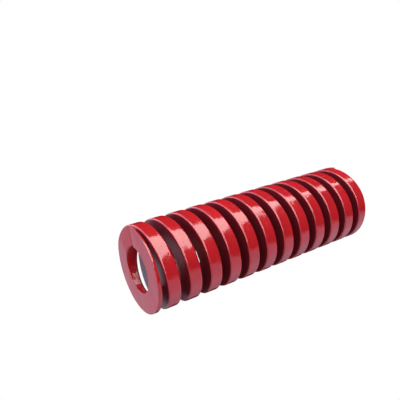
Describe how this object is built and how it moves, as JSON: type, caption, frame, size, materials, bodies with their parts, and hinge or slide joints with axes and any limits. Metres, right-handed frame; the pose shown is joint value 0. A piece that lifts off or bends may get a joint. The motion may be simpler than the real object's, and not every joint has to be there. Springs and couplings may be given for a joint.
{
  "type": "die spring",
  "caption": "Heavy compression spring coiled from flat wire, with closed and ground ends, for a round pocket or over a guide rod.",
  "frame": {"origin": "centre of the bottom ground end face, which the spring stands on", "axes": "+Z along the spring's axis, from the bottom end to the top end; +X towards the wire's bottom tip"},
  "size_m": [0.0244, 0.0244, 0.076],
  "materials": {
    "red_enamel": "glossy red enamel baked on spring steel"
  },
  "bodies": {
    "root": {"spring_coil": "red_enamel"}
  },
  "joints": []
}
